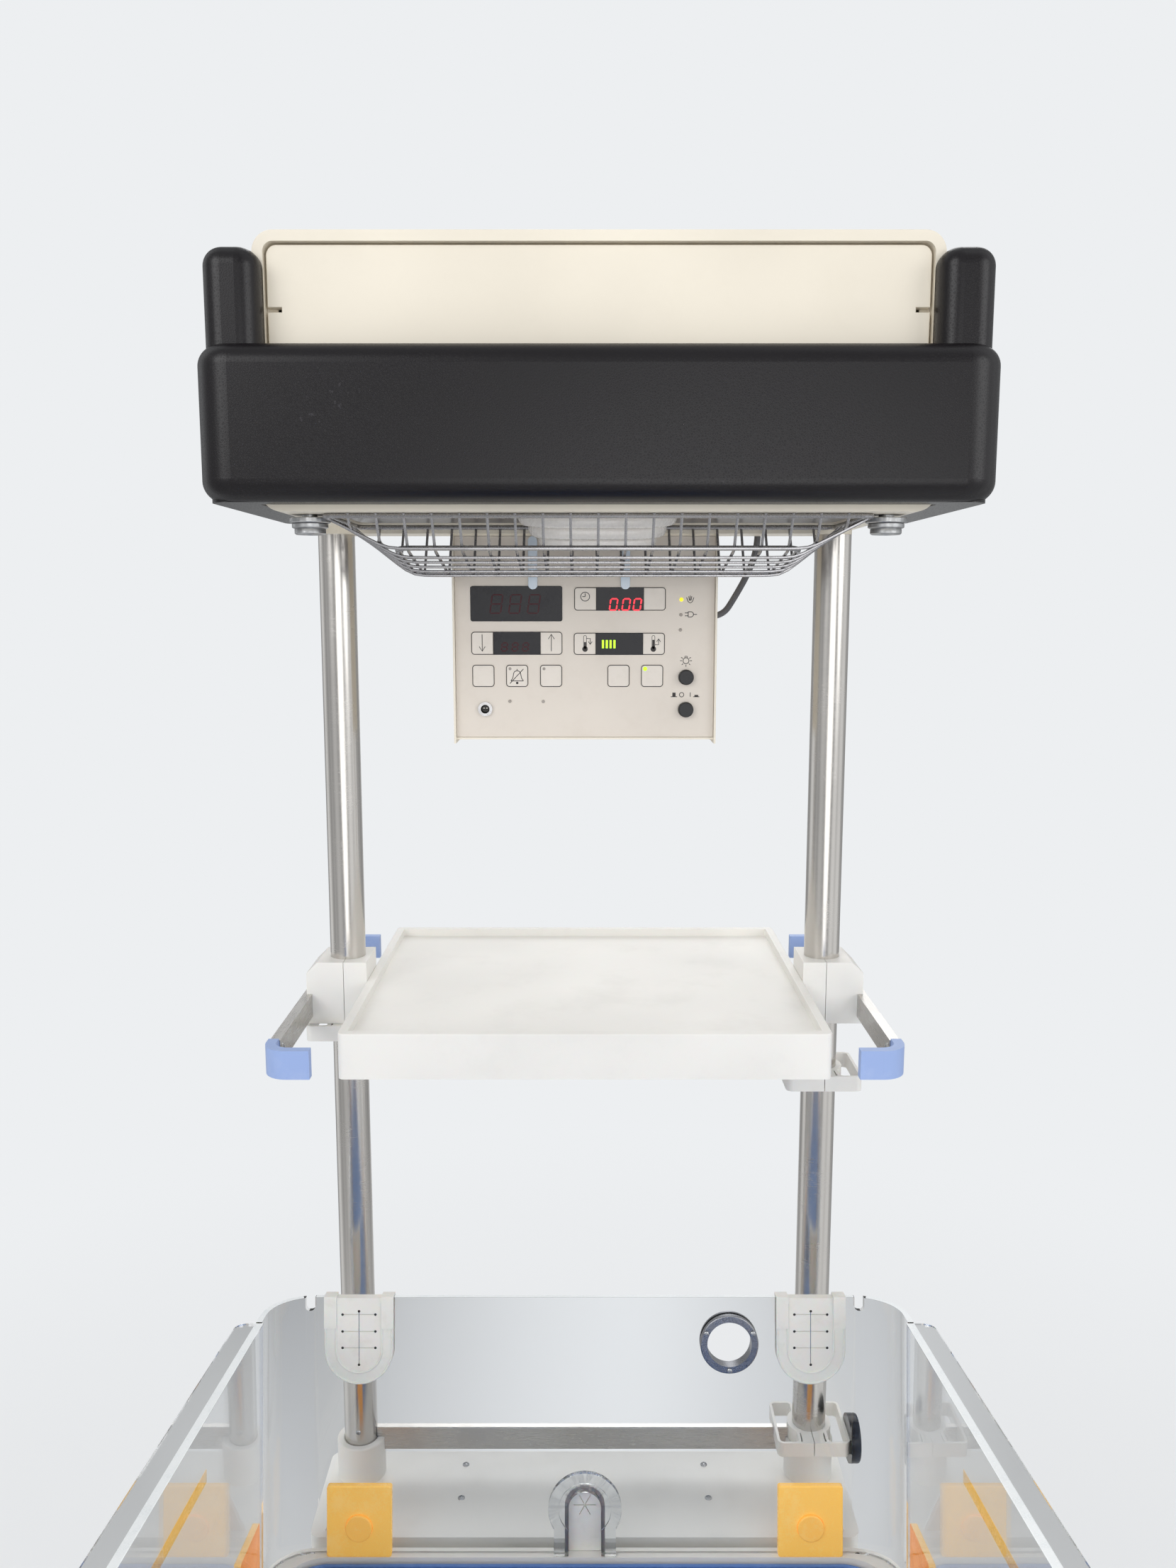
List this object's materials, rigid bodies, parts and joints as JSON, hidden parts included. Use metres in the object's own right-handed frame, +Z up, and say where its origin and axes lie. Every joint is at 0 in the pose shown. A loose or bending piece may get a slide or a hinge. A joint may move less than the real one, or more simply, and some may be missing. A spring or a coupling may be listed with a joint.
{
  "type": "infant radiant warmer",
  "caption": "Infant warmer with a tilting walled bed, a two-column mast, a heater hood with a guard and bumper, a control box, a shelf tray with rails and a wheeled lifting base.",
  "frame": {"origin": "centre of the bounding box on the floor", "axes": "+Z up, -Y towards the foot of the bed, +X to the right as seen from the foot"},
  "size_m": [0.708, 1.1321, 2.146],
  "materials": {
    "cream_paint": "satin",
    "grey_paint": "satin",
    "white_paint": "satin",
    "stainless": "satin",
    "chrome_wire": "polished",
    "reflector_metal": "satin",
    "ceramic_white": "satin",
    "lamp_glass": "gloss",
    "foam_black": "satin",
    "black_plastic": "matte",
    "white_plastic": "satin",
    "window_dark": "gloss",
    "blue_cap": "satin",
    "orange_plastic": "satin",
    "yellow_plastic": "satin",
    "clear_plastic": "gloss",
    "silicone_white": "matte",
    "mattress_blue": "satin",
    "tyre_grey": "matte",
    "green_board": "satin"
  },
  "bodies": {
    "base": {"chassis": "cream_paint", "lift_outer": "cream_paint"},
    "pedal": {"foot_pedal": "black_plastic"},
    "swivel_front_left": {"caster_fork_front_left": "stainless"},
    "wheel_front_left": {"caster_wheel_front_left": "tyre_grey"},
    "swivel_front_right": {"caster_fork_front_right": "stainless"},
    "wheel_front_right": {"caster_wheel_front_right": "tyre_grey"},
    "swivel_rear_left": {"caster_fork_rear_left": "stainless"},
    "wheel_rear_left": {"caster_wheel_rear_left": "tyre_grey"},
    "swivel_rear_right": {"caster_fork_rear_right": "stainless"},
    "wheel_rear_right": {"caster_wheel_rear_right": "tyre_grey"},
    "brake_front_left": {"caster_brake_front_left": "black_plastic"},
    "brake_front_right": {"caster_brake_front_right": "black_plastic"},
    "carriage": {"lift_inner": "stainless", "bed_carrier": "cream_paint", "deck_plate": "white_paint", "deck_screws": "stainless", "column_sockets": "white_plastic", "columns": "stainless", "cross_bar": "stainless", "mast_beam": "cream_paint", "hood_shell": "cream_paint", "hood_front_panel": "cream_paint", "hood_bumper": "foam_black", "reflector": "reflector_metal", "exam_lamps": "lamp_glass", "heater_block": "ceramic_white", "wire_guard": "chrome_wire", "hood_knobs": "black_plastic", "control_case": "cream_paint", "control_panel": "white_plastic", "control_windows": "window_dark", "sensor_socket": "stainless", "control_electronics": "green_board", "hood_cable": "black_plastic", "cable_clips": "white_plastic", "clip_knob": "black_plastic"},
    "lamp_key": {"lamp_button": "black_plastic"},
    "power_key": {"power_button": "black_plastic"},
    "shelf": {"tray": "white_plastic", "rail_clamps": "white_plastic", "side_rails": "stainless", "rail_caps": "blue_cap"},
    "bed": {"bed_tub": "white_plastic", "mattress": "mattress_blue", "panel_back": "clear_plastic", "round_port": "stainless", "tube_ports": "silicone_white", "tube_holder": "clear_plastic", "latches_back": "orange_plastic"},
    "wall_left": {"panel_left": "clear_plastic", "latches_left": "orange_plastic"},
    "latch_keys_left": {"latch_buttons_left": "yellow_plastic"},
    "wall_right": {"panel_right": "clear_plastic", "latches_right": "orange_plastic"},
    "latch_keys_right": {"latch_buttons_right": "yellow_plastic"},
    "wall_front": {"panel_front": "clear_plastic", "latches_front": "orange_plastic"},
    "latch_keys_front": {"latch_buttons_front": "yellow_plastic"},
    "latch_keys_back": {"latch_buttons_back": "yellow_plastic"}
  },
  "joints": [
    {"name": "pedal_press", "type": "hinge", "parent": "base", "child": "pedal", "pos_m": [0, -0.05924, 0.1433], "axis": [1, 0, 0], "range_deg": [0, 14], "stiffness_Nm_per_rad": 10, "springref_deg": -6.88},
    {"name": "caster_swivel_front_left", "type": "hinge", "parent": "base", "child": "swivel_front_left", "pos_m": [-0.265, -0.37, 0.11], "axis": [0, 0, 1], "continuous": true},
    {"name": "wheel_roll_front_left", "type": "hinge", "parent": "swivel_front_left", "child": "wheel_front_left", "pos_m": [-0.265, -0.402, 0.05], "axis": [1, 0, 0], "continuous": true},
    {"name": "caster_swivel_front_right", "type": "hinge", "parent": "base", "child": "swivel_front_right", "pos_m": [0.265, -0.37, 0.11], "axis": [0, 0, 1], "continuous": true},
    {"name": "wheel_roll_front_right", "type": "hinge", "parent": "swivel_front_right", "child": "wheel_front_right", "pos_m": [0.265, -0.402, 0.05], "axis": [1, 0, 0], "continuous": true},
    {"name": "caster_swivel_rear_left", "type": "hinge", "parent": "base", "child": "swivel_rear_left", "pos_m": [-0.265, 0.37, 0.11], "axis": [0, 0, 1], "continuous": true},
    {"name": "wheel_roll_rear_left", "type": "hinge", "parent": "swivel_rear_left", "child": "wheel_rear_left", "pos_m": [-0.265, 0.402, 0.05], "axis": [1, 0, 0], "continuous": true},
    {"name": "caster_swivel_rear_right", "type": "hinge", "parent": "base", "child": "swivel_rear_right", "pos_m": [0.265, 0.37, 0.11], "axis": [0, 0, 1], "continuous": true},
    {"name": "wheel_roll_rear_right", "type": "hinge", "parent": "swivel_rear_right", "child": "wheel_rear_right", "pos_m": [0.265, 0.402, 0.05], "axis": [1, 0, 0], "continuous": true},
    {"name": "brake_press_front_left", "type": "hinge", "parent": "swivel_front_left", "child": "brake_front_left", "pos_m": [-0.265, -0.402, 0.05], "axis": [1, 0, 0], "range_deg": [0, 12]},
    {"name": "brake_press_front_right", "type": "hinge", "parent": "swivel_front_right", "child": "brake_front_right", "pos_m": [0.265, -0.402, 0.05], "axis": [1, 0, 0], "range_deg": [0, 12]},
    {"name": "lift_slide", "type": "slide", "parent": "base", "child": "carriage", "axis": [0, 0, 1], "range_m": [0, 0.25]},
    {"name": "lamp_button_press", "type": "slide", "parent": "carriage", "child": "lamp_key", "axis": [0, 1, 0], "range_m": [0, 0.0025], "stiffness_N_per_m": 400, "springref_m": -0.002},
    {"name": "power_button_press", "type": "slide", "parent": "carriage", "child": "power_key", "axis": [0, 1, 0], "range_m": [0, 0.0025], "stiffness_N_per_m": 400, "springref_m": -0.002},
    {"name": "shelf_slide", "type": "slide", "parent": "carriage", "child": "shelf", "axis": [0, 0, 1], "range_m": [-0.03, 0.2]},
    {"name": "bed_tilt", "type": "hinge", "parent": "carriage", "child": "bed", "pos_m": [0, -0.18044, 0.79338], "axis": [1, 0, 0], "range_deg": [-4, 20]},
    {"name": "panel_fold_left", "type": "hinge", "parent": "bed", "child": "wall_left", "pos_m": [-0.344, -0.18795, 0.8844], "axis": [0, -0.9897, 0.1435], "range_deg": [0, 180]},
    {"name": "latch_press_left", "type": "slide", "parent": "wall_left", "child": "latch_keys_left", "axis": [1, 0, 0], "range_m": [0, 0.0025], "stiffness_N_per_m": 400, "springref_m": -0.002},
    {"name": "panel_fold_right", "type": "hinge", "parent": "bed", "child": "wall_right", "pos_m": [0.344, -0.18795, 0.8844], "axis": [0, 0.9897, -0.1435], "range_deg": [0, 180]},
    {"name": "latch_press_right", "type": "slide", "parent": "wall_right", "child": "latch_keys_right", "axis": [-1, 0, 0], "range_m": [0, 0.0025], "stiffness_N_per_m": 400, "springref_m": -0.002},
    {"name": "panel_fold_front", "type": "hinge", "parent": "bed", "child": "wall_front", "pos_m": [0, -0.56056, 0.93843], "axis": [1, 0, 0], "range_deg": [0, 180]},
    {"name": "latch_press_front", "type": "slide", "parent": "wall_front", "child": "latch_keys_front", "axis": [0, 0.9897, -0.1435], "range_m": [0, 0.0025], "stiffness_N_per_m": 400, "springref_m": -0.002},
    {"name": "latch_press_back", "type": "slide", "parent": "bed", "child": "latch_keys_back", "axis": [0, 0.9897, -0.1435], "range_m": [0, 0.0025], "stiffness_N_per_m": 400, "springref_m": -0.002}
  ]
}
